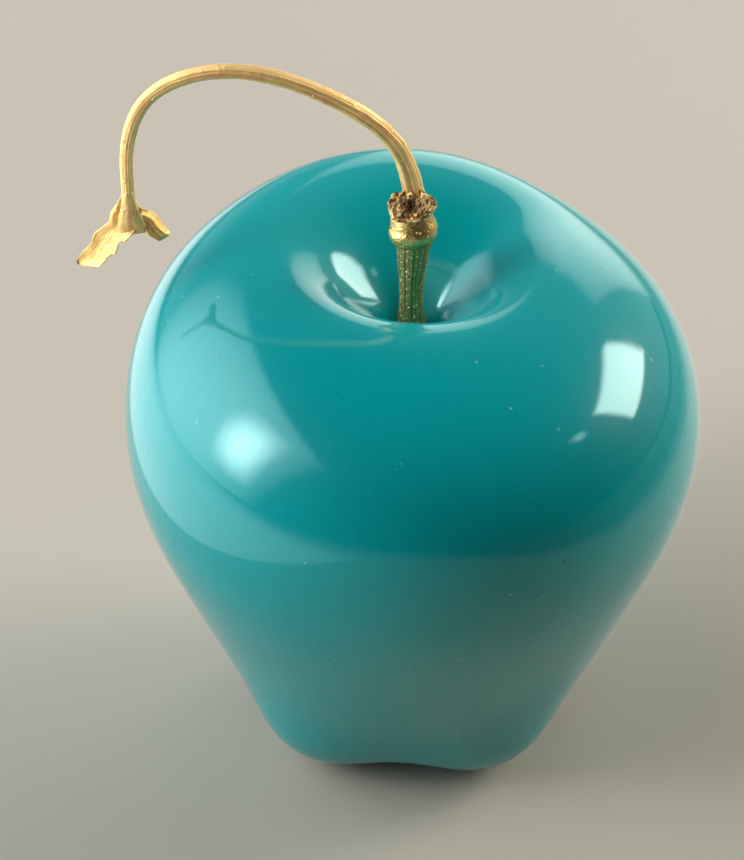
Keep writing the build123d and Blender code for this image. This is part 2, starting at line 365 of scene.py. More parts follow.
def remap(tree, value, start=0.0, stop=1.0, first=0.0, last=1.0, soft=False):
    """A value carried from the range start to stop over to first to last, held at both ends."""
    node = add(tree, "ShaderNodeMapRange", interpolation_type="SMOOTHSTEP" if soft else "LINEAR")
    connect(tree, node.inputs["Value"], value)
    connect(tree, node.inputs["From Min"], start)
    connect(tree, node.inputs["From Max"], stop)
    connect(tree, node.inputs["To Min"], first)
    connect(tree, node.inputs["To Max"], last)
    return node.outputs["Result"]


def split(tree, vector):
    """The X, Y and Z of a vector."""
    apart = add(tree, "ShaderNodeSeparateXYZ")
    tree.links.new(vector, apart.inputs[0])
    return apart.outputs


def run_map(tree):
    """Where a point lies on its piece: X around it and Y along it."""
    return split(tree, add(tree, "ShaderNodeUVMap", uv_map="run").outputs["UV"])


def new_group(name, inputs, output):
    """Empty shader group with named value inputs and one value output."""
    group = bpy.data.node_groups.new(name, "ShaderNodeTree")
    for label, value in inputs.items():
        socket = group.interface.new_socket(label, in_out="INPUT", socket_type="NodeSocketFloat")
        socket.default_value = value
    group.interface.new_socket(output, in_out="OUTPUT", socket_type="NodeSocketFloat")
    start = group.nodes.new("NodeGroupInput")
    end = group.nodes.new("NodeGroupOutput")
    return group, start.outputs, end.inputs[output]


def make_hair_lines():
    """Fine lines that run along a piece, however it turns; Count across, Run along."""
    group, given, result = new_group("hair_lines", {"Count": 30.0, "Run": 3.0, "Sharpness": 2.0}, "Lines")
    place = run_map(group)
    turn = math_node(group, "MULTIPLY", place["X"], 2 * math.pi)
    wound = add(group, "ShaderNodeCombineXYZ")
    for axis, operation in (("X", "COSINE"), ("Y", "SINE")):
        side = math_node(group, operation, turn)
        connect(group, wound.inputs[axis], math_node(group, "MULTIPLY", side, given["Count"]))
    connect(group, wound.inputs["Z"], math_node(group, "MULTIPLY", place["Y"], given["Run"]))
    cloud = add(group, "ShaderNodeTexNoise")
    cloud.inputs["Scale"].default_value = 1.0
    cloud.inputs["Detail"].default_value = 4.0
    cloud.inputs["Roughness"].default_value = 0.7
    connect(group, cloud.inputs["Vector"], wound.outputs[0])
    connect(group, result, math_node(group, "POWER", cloud.outputs["Fac"], given["Sharpness"]))
    return group


def make_specks():
    """Small scattered grains: Mask is one in the middle of a grain and fades to its edge."""
    group, given, result = new_group("specks", {"Scale": 2000.0, "Share": 0.2}, "Mask")
    place = add(group, "ShaderNodeTexCoord")
    cells = add(group, "ShaderNodeTexVoronoi", feature="F1")
    connect(group, cells.inputs["Vector"], place.outputs["Object"])
    connect(group, cells.inputs["Scale"], given["Scale"])
    draw = add(group, "ShaderNodeSeparateColor")
    connect(group, draw.inputs[0], cells.outputs["Color"])
    chosen = math_node(group, "LESS_THAN", draw.outputs[0], given["Share"])
    steepness = 2.2
    fall = math_node(group, "MULTIPLY", cells.outputs["Distance"], steepness)
    core = math_node(group, "MAXIMUM", math_node(group, "SUBTRACT", 1.0, fall), 0.0)
    connect(group, result, math_node(group, "MULTIPLY", chosen, core))
    return group


def make_clouding():
    """Slow, uneven patches from zero to one."""
    group, given, result = new_group("clouding", {"Scale": 100.0, "Low": 0.35, "High": 0.65}, "Patch")
    place = add(group, "ShaderNodeTexCoord")
    cloud = add(group, "ShaderNodeTexNoise")
    cloud.inputs["Detail"].default_value = 5.0
    connect(group, cloud.inputs["Vector"], place.outputs["Object"])
    connect(group, cloud.inputs["Scale"], given["Scale"])
    connect(group, result, remap(group, cloud.outputs["Fac"], given["Low"], given["High"], soft=True))
    return group


HAIR_LINES = make_hair_lines()
SPECKS = make_specks()
CLOUDING = make_clouding()


def place_group(tree, group, **values):
    node = add(tree, "ShaderNodeGroup", node_tree=group)
    for label, value in values.items():
        node.inputs[label].default_value = value
    return node.outputs[0]


def new_material(name, **constants):
    """Material with a principled shader whose even values are set on its own sockets."""
    material = bpy.data.materials.new(name)
    material.use_nodes = True
    tree = material.node_tree
    shader = tree.nodes["Principled BSDF"]
    for label, value in constants.items():
        shader.inputs[label.replace("_", " ")].default_value = value
    return material, tree, shader


def emboss(tree, shader, relief, strength, depth):
    """Bump of a relief into the shader's normal; its depth is in metres."""
    bump = add(tree, "ShaderNodeBump")
    bump.inputs["Strength"].default_value = strength
    bump.inputs["Distance"].default_value = depth
    connect(tree, bump.inputs["Height"], relief)
    connect(tree, shader.inputs["Normal"], bump.outputs["Normal"])


def turquoise_glass():
    """Opaque turquoise glass: deep colour with faint clouds, a thin streaky haze and some dust."""
    material, tree, shader = new_material(
        "turquoise_glass", IOR=1.62, Coat_Roughness=0.3, Coat_IOR=1.5, Specular_Tint=GLASS_SHEEN
    )
    clouds = place_group(tree, CLOUDING, Scale=38.0, Low=0.3, High=0.7)
    hue = blend_node(tree, clouds, GLASS_DEEP, GLASS_BRIGHT)
    dust = place_group(tree, SPECKS, Scale=1500.0, Share=0.003)
    dust_strength = 0.6
    hue = blend_node(tree, math_node(tree, "MULTIPLY", dust, dust_strength), hue, GLASS_DUST)
    pits = place_group(tree, SPECKS, Scale=1100.0, Share=0.0012)
    connect(tree, shader.inputs["Base Color"], blend_node(tree, pits, hue, GLASS_PIT))
    hair = place_group(tree, HAIR_LINES, Count=110.0, Run=9.0, Sharpness=3.0)
    haze = remap(tree, hair, start=0.05, stop=0.35, first=0.2, last=0.42)
    connect(tree, shader.inputs["Coat Weight"], haze)
    connect(tree, shader.inputs["Roughness"], remap(tree, clouds, first=0.025, last=0.06))
    emboss(tree, shader, hair, strength=0.025, depth=0.0003)
    return material


def stain(tree, body, colour, along, middle, reach, patch):
    """A band of another colour round a place on the piece's run, uneven by a patch."""
    off = math_node(tree, "ABSOLUTE", math_node(tree, "SUBTRACT", along, middle))
    near = remap(tree, off, start=reach, stop=0.0, soft=True)
    least_share = 0.35
    share = math_node(tree, "MULTIPLY", near, math_node(tree, "ADD", patch, least_share))
    return blend_node(tree, math_node(tree, "MINIMUM", share, 1.0), body, colour)


def gilt_metal(name, gold, worn, lines, specks, metal_share, dullness, seam=None, foot=None):
    """Satin gilding: gold with worn lines along the piece, raised grains painted bright, partly as glints,
    and stains.

    lines are their count and run, specks their scale and share, and dullness the least and most roughness.
    seam is a stain along the piece and foot one across it: middle and reach on the piece's run, and colour.
    """
    material, tree, shader = new_material(name)
    patch = place_group(tree, CLOUDING, Scale=300.0, Low=0.35, High=0.7)
    hair = place_group(tree, HAIR_LINES, Count=lines[0], Run=lines[1], Sharpness=1.0)
    wear = remap(tree, hair, start=0.5, stop=0.68, soft=True)
    least_wear = 0.3
    wear = math_node(tree, "MULTIPLY", wear, math_node(tree, "ADD", patch, least_wear))
    body = blend_node(tree, wear, gold, worn)
    place = run_map(tree)
    for axis, band in (("X", seam), ("Y", foot)):
        if band:
            middle, reach, colour = band
            body = stain(tree, body, colour, place[axis], middle, reach, patch)
    # The raised grains are painted a pale gold: partly their own brighter gilding, partly a painted glint of
    # the light they catch
    grains = place_group(tree, SPECKS, Scale=specks[0], Share=specks[1])
    grain_spread = 2.5
    bright = math_node(tree, "MINIMUM", math_node(tree, "MULTIPLY", grains, grain_spread), 1.0)
    connect(tree, shader.inputs["Base Color"], blend_node(tree, bright, body, GRAIN_GOLD_AND_GLINT))
    connect(tree, shader.inputs["Metallic"], remap(tree, bright, first=metal_share, last=0.4))
    connect(tree, shader.inputs["Roughness"], remap(tree, patch, first=dullness[0], last=dullness[1]))
    grain_height = 1.5
    relief = math_node(tree, "ADD", hair, math_node(tree, "MULTIPLY", grains, grain_height))
    emboss(tree, shader, relief, strength=0.6, depth=0.0002)
    return material


def drawn_brass():
    """Plain rod: dull patches and fine pits on brass."""
    material, tree, shader = new_material("brass_peg", Metallic=1.0)
    patch = place_group(tree, CLOUDING, Scale=260.0, Low=0.3, High=0.7)
    pits = place_group(tree, SPECKS, Scale=1800.0, Share=0.1)
    hue = blend_node(tree, patch, BRASS_BRIGHT, BRASS_DULL)
    connect(tree, shader.inputs["Base Color"], blend_node(tree, pits, hue, BRASS_PIT))
    connect(tree, shader.inputs["Roughness"], remap(tree, patch, first=0.3, last=0.5))
    emboss(tree, shader, pits, strength=0.3, depth=0.0001)
    return material


def cured_resin():
    """Cured adhesive: yellowish, slightly cloudy, with small bubbles."""
    material, tree, shader = new_material("cured_adhesive", IOR=1.55)
    patch = place_group(tree, CLOUDING, Scale=400.0, Low=0.3, High=0.7)
    bubbles = place_group(tree, SPECKS, Scale=1400.0, Share=0.15)
    hue = blend_node(tree, patch, RESIN_PALE, RESIN_YELLOW)
    connect(tree, shader.inputs["Base Color"], blend_node(tree, bubbles, hue, BUBBLE))
    connect(tree, shader.inputs["Roughness"], remap(tree, patch, first=0.15, last=0.4))
    emboss(tree, shader, bubbles, strength=0.3, depth=0.0002)
    return material


def scar_metal():
    """Rough darkened gilding: dull gold high spots, brown crust, and near black in the hollow."""
    material, tree, shader = new_material("dark_gilt", Metallic=0.6)
    patch = place_group(tree, CLOUDING, Scale=700.0, Low=0.38, High=0.6)
    hue = blend_node(tree, patch, CRUST_BROWN, CRUST_GOLD)
    hollow = remap(tree, run_map(tree)["Y"], start=0.6, stop=0.85, last=0.85, soft=True)
    hue = blend_node(tree, hollow, hue, CRUST_DARK)
    grains = place_group(tree, SPECKS, Scale=2000.0, Share=0.22)
    connect(tree, shader.inputs["Base Color"], blend_node(tree, grains, hue, CRUMB_GOLD))
    connect(tree, shader.inputs["Roughness"], remap(tree, patch, first=0.65, last=0.35))
    emboss(tree, shader, math_node(tree, "ADD", patch, grains), strength=0.8, depth=0.0004)
    return material


# Glass


def swell(angles, centre, sharpness):
    """One round a centre angle and near zero away from it."""
    return np.exp(sharpness * (np.cos(np.radians(angles - centre)) - 1))


def bell(value, middle, spread):
    """One at a middle value and near zero away from it."""
    return math.exp(-(((value - middle) / spread) ** 2))


def nearness(radius, height, place, reach):
    """One at a place on the meridian and near zero away from it."""
    return bell(math.hypot(radius - place[0], height - place[1]), 0, reach)


def make_glass():
    """The lobed apple as one fine skin from the floor of its hollow, over the crest and round to the base."""
    toe = BODY_RADIUS - TOE_INSET
    sole = ((toe + FOOT_RADIUS) / 2 + FOOT_GRIND, 0)
    crest = (CREST_RADIUS, CROWN_HEIGHT)
    meridian = smooth_curve(
        (
            (SOCKET_RADIUS, FLOOR_HEIGHT + CONE_RISE),
            *CONE_KNOTS,
            (LIP_RADIUS, CROWN_HEIGHT - LIP_DEPTH),
            crest,
            (BODY_RADIUS - SHOULDER_INSET, CROWN_HEIGHT - SHOULDER_DROP),
            (BODY_RADIUS, EQUATOR_HEIGHT),
            (BODY_RADIUS - FLANK_INSET, FLANK_HEIGHT),
            (toe, TOE_HEIGHT),
            (FOOT_RADIUS, -FOOT_GRIND),
            (BASE_SLOPE_RADIUS, BASE_SLOPE_HEIGHT),
            (BASE_HOLLOW_RADIUS, BASE_HOLLOW_DEPTH),
        ),
        GLASS_STATIONS,
    )
    meridian = np.vstack([[SOCKET_RADIUS, FLOOR_HEIGHT], meridian])
    angles = np.arange(GLASS_AROUND) * 360 / GLASS_AROUND + 180
    grooves = [FOOT_TURN + 360 * lobe / FOOT_LOBES for lobe in range(FOOT_LOBES)]
    grooved = sum(swell(angles, groove, FOOT_GROOVE_SHARPNESS) for groove in grooves)
    dip = DIP_DEPTH * swell(angles, DIP_ANGLE, DIP_SHARPNESS)
    facing = 0.5 + 0.5 * np.cos(np.radians(angles))
    rings = []
    for radius, height in meridian:
        groove = FOOT_GROOVE_DEPTH * nearness(radius, height, (toe, TOE_HEIGHT), GROOVE_REACH)
        rise = FOOT_GROOVE_RISE * nearness(radius, height, sole, RISE_REACH)
        sunk = nearness(radius, height, crest, DIP_REACH)
        lean = min(max((height - EQUATOR_HEIGHT) / (CROWN_HEIGHT - EQUATOR_HEIGHT), 0), 1)
        out = radius - groove * grooved
        widen = 0
        if height > EQUATOR_HEIGHT:
            out = out + WALL_PUSH * bell(radius, WALL_MIDDLE, WALL_SPREAD) * facing
            widen = np.interp(radius, (SOCKET_RADIUS, LIP_FULL, LIP_END), (0, LIP_WIDENING, 0))
        shift = nearness(radius, height, crest, CREST_REACH)
        right = out * np.sin(np.radians(angles)) * (1 + widen * facing)
        front = out * np.cos(np.radians(angles)) - CREST_BACK * shift
        sink = right * slope(LEAN_RIGHT) + front * slope(LEAN_FRONT)
        level = height + rise * grooved - sunk * dip - lean * sink
        rings.append(np.stack([right, -front, np.maximum(level, 0)], axis=1))
    return loft("apple_glass", rings[::-1], turquoise_glass())


# Stem


def knuckle_frame(height):
    """Place and axes across the knuckle at a height along its leaning axis."""
    back = Matrix.Rotation(math.radians(-KNUCKLE_BACK), 3, "X")
    turn = back @ Matrix.Rotation(math.radians(-KNUCKLE_LEFT), 3, "Y")
    across, depth, up = (np.array(turn @ Vector(axis)) for axis in ((1, 0, 0), (0, 1, 0), (0, 0, 1)))
    return np.array([0, 0, FLOOR_HEIGHT + SPUR_HEIGHT]) + up * height, across, depth, up


def arch_points(stations):
    """Middle line of the stalk, from its socket in the knuckle to its tip."""
    place, across, depth, _ = knuckle_frame(KNUCKLE_HEIGHT - SOCKET_DEPTH)
    base = place + across * STALK_RIGHT + depth * STALK_BACK
    top = base[2] + ARCH_RISE
    knots = [base] + [(-out * ARCH_REACH, 0, top - drop * ARCH_RISE) for out, drop in ARCH_SHAPE]
    knots.append((-ARCH_REACH, 0, top - TIP_DROP))
    return smooth_curve(knots, stations)


def ring_points(place, across, wide, depth, deep):
    """Ring of points round a place, from their reach along two axes."""
    return place + np.outer(wide, across) + np.outer(deep, depth)


def round_points(place, across, depth, out, turns):
    """Ring of points at a distance round a place."""
    return ring_points(place, across, out * np.cos(turns), depth, out * np.sin(turns))


def scattered_grains(count, seed, sizes, heights):
    """Grains as turn, share along, size and height."""
    draw = random.Random(seed)
    grains = []
    for _ in range(count):
        turn = draw.uniform(0, 2 * math.pi)
        along = draw.random()
        size = draw.uniform(*sizes)
        grains.append((turn, along, size, draw.uniform(*heights)))
    return grains


def grain_relief(turns, share, length, radius, grains):
    """Height that the grains add round one ring."""
    relief = np.zeros_like(turns)
    for turn, along, size, height in grains:
        off = abs(share - along) * length
        if off > GRAIN_REACH * size:
            continue
        side = np.abs((turns - turn + math.pi) % (2 * math.pi) - math.pi) * radius
        relief += height * np.exp(-(side**2 + off**2) / size**2)
    return relief


def rough(x, y, z, scale):
    """Uneven value at a place, about zero."""
    return noise.fractal(Vector((x, y, z)) * scale, NOISE_FALL, NOISE_STEP, NOISE_WAVES)


def rough_ring(turns, reach, level, scale):
    """Uneven values round a ring."""
    return np.array([rough(reach * math.cos(t), reach * math.sin(t), level, scale) for t in turns])


def make_arch(material):
    """Tapering stalk: soft ridges along it, a slightly uneven thickness and a few grains of gilding."""
    stations, around = 420, 56
    line = arch_points(stations)
    length = np.linalg.norm(np.diff(line, axis=0), axis=1).sum()
    ahead = np.gradient(line, axis=0)
    ahead /= np.linalg.norm(ahead, axis=1)[:, None]
    turns = full_turn(around)
    grains = scattered_grains(*STALK_GRAINS)
    furrow = sum(cut * swell(np.degrees(turns), at, FURROW_SHARPNESS) for at, cut in FURROWS)
    rings = []
    for i, place in enumerate(line):
        share = i / (stations - 1)
        flare = math.exp(-share / STALK_FLARE)
        radius = STALK_RADIUS + (STALK_TIP_RADIUS - STALK_RADIUS) * share
        radius += (STALK_BASE_RADIUS - STALK_RADIUS) * flare
        radius += FOOT_FLARE * math.exp(-share / FOOT_FLARE_REACH)
        side = np.cross(ahead[i], (0, 1, 0))
        side /= np.linalg.norm(side)
        depth = np.cross(side, ahead[i])
        place = place + np.array([BASE_RIGHT * flare, 0, 0])
        ridges = sum(high * np.cos(count * turns + twist * share) for high, count, twist in RIDGES)
        uneven = STALK_UNEVEN * rough(*place, scale=0.35)
        out = radius * (1 + ridges + uneven - furrow) + grain_relief(turns, share, length, radius, grains)
        rings.append(round_points(place, side, depth, out, turns))
    return loft("stalk_arch", rings, material)


def make_spur(material):
    """Waisted, fluted post covered in fine grains."""
    stations, around = 200, 176
    outline = smooth_curve(
        (
            (0, SPUR_FOOT_RADIUS),
            (SPUR_KNEE_HEIGHT, SPUR_KNEE_RADIUS),
            (SPUR_WAIST_HEIGHT, SPUR_WAIST_RADIUS),
            (SPUR_HEIGHT, SPUR_TOP_RADIUS),
        ),
        stations,
    )
    turns = full_turn(around)
    flutes = np.abs(np.sin(turns * SPUR_FLUTES / 2)) + FINE_FLUTE_SHARE * np.cos(2 * SPUR_FLUTES * turns + 1)
    grains = scattered_grains(*SPUR_GRAINS)
    _, across, depth, _ = knuckle_frame(0)
    rings = []
    for i, (height, radius) in enumerate(outline):
        share = i / (stations - 1)
        out = radius - FLUTE_DEPTH * flutes + grain_relief(turns, share, SPUR_HEIGHT, radius, grains)
        lean = share**SPUR_LEAN_POWER
        side = (1 - lean) * np.array([1.0, 0, 0]) + lean * across
        back = (1 - lean) * np.array([0, 1.0, 0]) + lean * depth
        place = np.array([-SPUR_BEND * math.sin(math.pi * share), 0, FLOOR_HEIGHT + height])
        rings.append(round_points(place, side, back, out, turns))
    return loft("fruit_spur", rings, material)


def make_knuckle(material):
    """Smooth swollen collar with a band of grains round its lower edge."""
    stations, around = 90, 120
    knots = [(KNUCKLE_RADIUS - inset, share * KNUCKLE_HEIGHT) for inset, share in KNUCKLE_INSETS]
    outline = smooth_curve([(SPUR_TOP_RADIUS, 0)] + knots, stations)
    turns = full_turn(around)
    grains = []
    for turn, along, size, tall in scattered_grains(*COLLAR_GRAINS):
        grains.append((turn, COLLAR_GRAIN_BAND * along, size, tall))
    rings = []
    for i, (radius, height) in enumerate(outline):
        place, across, depth, _ = knuckle_frame(height)
        share = i / (stations - 1)
        uneven = KNUCKLE_UNEVEN * rough_ring(turns, reach=2, level=height, scale=0.55)
        out = radius + uneven * math.sin(math.pi * share)
        out += grain_relief(turns, share, KNUCKLE_HEIGHT, radius, grains)
        rings.append(round_points(place, across, depth, out, turns))
    return loft("spur_collar", rings, material)


def make_scar(material):
    """Broken bud scar: a crumbling crust before the stalk that faces forward and up, with a dark hollow."""
    around, rise_steps, face_steps = 140, 26, 48
    turns = full_turn(around)
    ragged = SCAR_RAGGED * rough_ring(turns, reach=3, level=7.0, scale=0.8)
    ragged += SCAR_WAVES * (np.sin(3 * turns + 1) + np.sin(5 * turns + 2))
    foot, across, depth, up = knuckle_frame(KNUCKLE_HEIGHT)
    tilt = math.radians(CRUST_TILT)
    crest = depth * math.cos(tilt) + up * math.sin(tilt)
    face = up * math.cos(tilt) - depth * math.sin(tilt)
    middle = foot - depth * CRUST_FORWARD + up * CRUST_RISE
    rings = []
    for k in range(rise_steps):
        share = k / rise_steps
        back = (1 - share) * depth + share * crest
        out = SCAR_RADIUS * (SCAR_FOOT_SHARE + SCAR_SWELL * math.sin(math.pi * share) + ragged * share)
        out = out + CRUMB_ON_RIM * share * rough_ring(turns, reach=3, level=4 * share, scale=1.2)
        length = (1 - share) * SCAR_FOOT_SQUASH + share * CRUST_LENGTH / SCAR_RADIUS
        place = (1 - share) * foot + share * middle
        rings.append(ring_points(place, across, out * np.cos(turns), back, out * length * np.sin(turns)))
    for k in range(face_steps):
        reach = max(SCAR_FACE_SHARE * (1 - (k / (face_steps - 1)) ** SCAR_FACE_POWER), SCAR_CORE_SHARE)
        x = SCAR_RADIUS * reach * (1 + ragged) * np.cos(turns)
        y = CRUST_LENGTH * reach * (1 + ragged) * np.sin(turns)
        coarse = np.array([rough(p, q, 3.0, scale=0.8) for p, q in zip(x, y)])
        fine = np.array([rough(p, q, 9.0, scale=2.2) for p, q in zip(x, y)])
        level = CRUST_LEVEL + CRUMB_ON_FACE * (coarse + FINE_CRUMB_SHARE * fine)
        for (right, back), (wide, tall), deep in CRUST_HOLLOWS:
            level = level - deep * np.exp(-((x - right) ** 2 / wide + (y - back) ** 2 / tall))
        rings.append(ring_points(middle, across, x, crest, y) + np.outer(level, face))
    return loft("bud_scar_crust", rings, material)


def leaf_skin(name, edges, size, angles, bulge, fold, material):
    """Thin leaf as a closed skin: front and back sheets between two edges, bowed across and wrinkled along.

    edges are the low and the high outline, size its length and width, and angles its direction and twist.
    """
    stations, across_steps = 110, 26
    low, high = (np.array(edge, float) for edge in edges)
    length, width = size
    heading, twist = (math.radians(angle) for angle in angles)
    root = arch_points(60)[-1] - np.array([0, 0, LEAF_ROOT_DROP])
    along = np.array([math.cos(heading), 0, math.sin(heading)])
    across = np.array([-math.sin(heading), 0, math.cos(heading)])
    forward = np.array([0, -1.0, 0])
    begin, finish = low[0, 0], low[-1, 0]
    sides = np.linspace(0, 1, across_steps)
    rings = []
    for i in range(stations):
        share = begin + (finish - begin) * i / (stations - 1)
        turned = twist * min(1, max(0, share - TWIST_START) / TWIST_RUN)
        aside = across * math.cos(turned) + forward * math.sin(turned)
        face = forward * math.cos(turned) - across * math.sin(turned)
        bottom = np.interp(share, low[:, 0], low[:, 1])
        top = np.interp(share, high[:, 0], high[:, 1])
        ring = []
        for sheet, order in ((1, sides), (-1, sides[::-1])):
            for u in order:
                w = (bottom + (top - bottom) * u) * width
                middle = 1 - (2 * u - 1) ** 2
                bow = bulge * middle + fold(share, u)
                wave = LEAF_WAVE * rough(share * length, w, 2.0, scale=0.4)
                thick = LEAF_SHEET * (LEAF_EDGE_SHARE + LEAF_MIDDLE_SHARE * math.sqrt(max(0, middle)))
                lift = bow + wave + sheet * thick / 2
                ring.append(root + along * share * length + aside * w + face * lift)
        rings.append(ring)
    return loft(name, rings, material)


def make_large_bract(material):
    """Long leaf with a toothed edge on either side and a fold at its root."""
    low = [(-0.2, -0.72), (-0.05, -0.62), (0.12, -0.53), (0.2, -0.42), (0.26, -0.35), (0.4, -0.38)]
    low += [(0.525, -0.41), (0.6, -0.33), (0.63, -0.27), (0.69, -0.25), (0.85, -0.23), (0.965, -0.2)]
    low += [(1.0, -0.07)]
    high = [(-0.2, 0.1), (0.0, 0.36), (0.1, 0.44), (0.2, 0.455), (0.276, 0.466), (0.3, 0.37)]
    high += [(0.354, 0.363), (0.42, 0.46), (0.488, 0.543), (0.52, 0.45), (0.586, 0.442), (0.68, 0.475)]
    high += [(0.77, 0.493), (0.87, 0.26), (1.0, -0.05)]

    def fold(share, u):
        raised = bell(u, middle=0.12, spread=0.13) * bell(share, middle=0.06, spread=0.14)
        return LARGE_LEAF_FOLD * raised - LARGE_LEAF_DROOP * max(0, share - 0.5) ** 2

    size = (LARGE_LEAF_LENGTH, LARGE_LEAF_WIDTH)
    angles = (LARGE_LEAF_ANGLE, LARGE_LEAF_TWIST)
    return leaf_skin("large_leaf", (low, high), size, angles, LARGE_LEAF_BULGE, fold, material)


def make_small_bract(material):
    """Short leaf with a crease along it."""
    low = [(-0.25, -0.05), (0.264, 0.0), (0.5, -0.08), (0.6, -0.19), (0.9, -0.15), (1.0, 0.2)]
    high = [(-0.25, 0.45), (0.18, 0.69), (0.425, 0.81), (0.574, 0.745), (0.78, 0.594), (1.0, 0.5)]

    def fold(share, u):
        return SMALL_LEAF_CREASE * bell(u, middle=0.55, spread=0.2) - SMALL_LEAF_DROOP * share

    size = (SMALL_LEAF_LENGTH, SMALL_LEAF_WIDTH)
    angles = (SMALL_LEAF_ANGLE, SMALL_LEAF_TWIST)
    return leaf_skin("small_leaf", (low, high), size, angles, SMALL_LEAF_BULGE, fold, material)


def make_fork(material):
    """Swelling that opens from the stalk's end between the two leaves."""
    stations, around = 70, 64
    line = arch_points(60)
    down = line[-1] - line[-2]
    down /= np.linalg.norm(down)
    side = np.cross(down, (0, 1, 0))
    depth = np.cross(side, down)
    turns = full_turn(around)
    knots = [(FORK_START, STALK_TIP_RADIUS, STALK_TIP_RADIUS)]
    knots += [(share, wide * FORK_WIDTH, thick * FORK_THICKNESS) for share, wide, thick in FORK_STAGES]
    rings = []
    for share, half_width, half_depth in smooth_curve(knots, stations):
        place = line[-1] + down * share * FORK_LENGTH
        uneven = 1 + FORK_UNEVEN * rough_ring(turns, reach=2, level=share * 6, scale=0.8)
        wide = half_width * np.cos(turns) * uneven
        deep = half_depth * np.sin(turns) * uneven
        rings.append(ring_points(place, side, wide, depth, deep))
    return loft("leaf_fork", rings, material)


# Stage


def make_floor():
    """Wide sheet of pale warm paper with painted shade towards the front, the left and the right."""
    material, tree, shader = new_material("paper", Roughness=0.9, Specular_IOR_Level=0.1)
    patch = place_group(tree, CLOUDING, Scale=6.0, Low=0.2, High=0.8)
    pale = blend_node(tree, patch, PAPER_WARM, PAPER_PALE)
    place = split(tree, add(tree, "ShaderNodeTexCoord").outputs["Object"])
    # Painted shade: lit keeps the paper pale near the glass, around that it takes the shaded tone, and far in
    # front, far left and beyond the right it turns near black
    off_front = remap(tree, place["Y"], start=-0.24, stop=0.1, soft=True)
    off_right = remap(tree, place["X"], start=0.2, stop=0.1, soft=True)
    off_left = remap(tree, place["X"], start=-0.5, stop=-0.2, soft=True)
    lit = math_node(tree, "MULTIPLY", math_node(tree, "MULTIPLY", off_front, off_right), off_left)
    near = remap(tree, place["Y"], start=-1.3, stop=-0.3, soft=True)
    beside = remap(tree, place["X"], start=0.19, stop=0.12, soft=True)
    close = math_node(tree, "MULTIPLY", math_node(tree, "MULTIPLY", near, beside), off_left)
    shaded = blend_node(tree, close, PAPER_DEEP_SHADE, PAPER_SHADED)
    connect(tree, shader.inputs["Base Color"], blend_node(tree, lit, shaded, pale))
    bpy.ops.mesh.primitive_plane_add(size=FLOOR_SIZE, location=(0, 0, 0))
    floor = bpy.context.object
    floor.name = "paper_floor"
    floor.data.materials.append(material)


def direction(azimuth, elevation):
    """Unit vector; azimuth from the front, growing to the right."""
    a = math.radians(azimuth)
    e = math.radians(elevation)
    return Vector((math.sin(a) * math.cos(e), -math.cos(a) * math.cos(e), math.sin(e)))


def fade_edges(lamp, fades):
    """Light that is strongest in its middle and fades towards its sides and ends, each by its own power."""
    lamp.use_nodes = True
    tree = lamp.node_tree
    across = split(tree, add(tree, "ShaderNodeNewGeometry").outputs["Parametric"])
    shares = []
    for axis, power in zip(("X", "Y"), fades):
        swing = math_node(tree, "SINE", math_node(tree, "MULTIPLY", across[axis], math.pi))
        shares.append(math_node(tree, "POWER", math_node(tree, "MAXIMUM", swing, 0.0), power))
    connect(tree, tree.nodes["Emission"].inputs["Strength"], math_node(tree, "MULTIPLY", *shares))


def make_lamp(name, place, away, size, radiance, colour, fades=None):
    """Rectangular soft light at a place, shining opposite to a direction."""
    lamp = bpy.data.lights.new(name, "AREA")
    lamp.shape = "RECTANGLE"
    lamp.size, lamp.size_y = size
    lamp.energy = radiance * math.pi * size[0] * size[1]
    lamp.color = colour
    if fades:
        fade_edges(lamp, fades)
    holder = bpy.data.objects.new(name, lamp)
    holder.location = place
    holder.rotation_euler = Vector(away).to_track_quat("Z", "Y").to_euler()
    holder.visible_camera = False
    bpy.context.scene.collection.objects.link(holder)
    return holder


def aimed_lamp(name, azimuth, elevation, size, radiance, colour, fades=None):
    """Soft light at the usual distance, aimed at the middle of the glass."""
    toward = direction(azimuth, elevation)
    middle = Vector((0, 0, EQUATOR_HEIGHT * MM))
    return make_lamp(name, middle + toward * LAMP_DISTANCE, toward, size, radiance, colour, fades)


def floor_card(name, x, y, size, radiance, colour, fades):
    """Bright card that lies on the floor and shines up."""
    make_lamp(name, (x, y, CARD_HEIGHT), (0, 0, -1), size, radiance, colour, fades)


def make_light():
    """Panel and key at the left, softbox, spot and fill at the right, panel behind and two low cards."""
    aimed_lamp("left_key", -70, 30, size=(0.38, 0.86), radiance=12.0, colour=ROSY, fades=(1.3, 1.3))
    aimed_lamp("left_panel", -93, 29, size=(1.5, 1.3), radiance=3.6, colour=COOL, fades=(0.9, 0.25))
    aimed_lamp("right_softbox", 112, 31, size=(0.36, 0.34), radiance=10.7, colour=PEACH)
    aimed_lamp("small_spot", 84, 41, size=(0.06, 0.06), radiance=3.6, colour=WARM)
    aimed_lamp("back_panel", 162, 19, size=(0.62, 0.72), radiance=2.5, colour=WARM, fades=(0.3, 0.3))
    # The fill brightens the edge of the glass as light spread inside it would, so it isn't mirrored
    fill = aimed_lamp("right_fill", 120, 12, size=(1.0, 0.7), radiance=4.6, colour=WARM)
    fill.visible_glossy = False
    floor_card("right_card", 0.13, 0.16, size=(0.2, 0.4), radiance=0.3, colour=WARM, fades=(0.35, 0.6))
    floor_card("left_card", -0.6, 0.12, size=(1.02, 0.9), radiance=1.8, colour=COOL, fades=(0.15, 0.9))


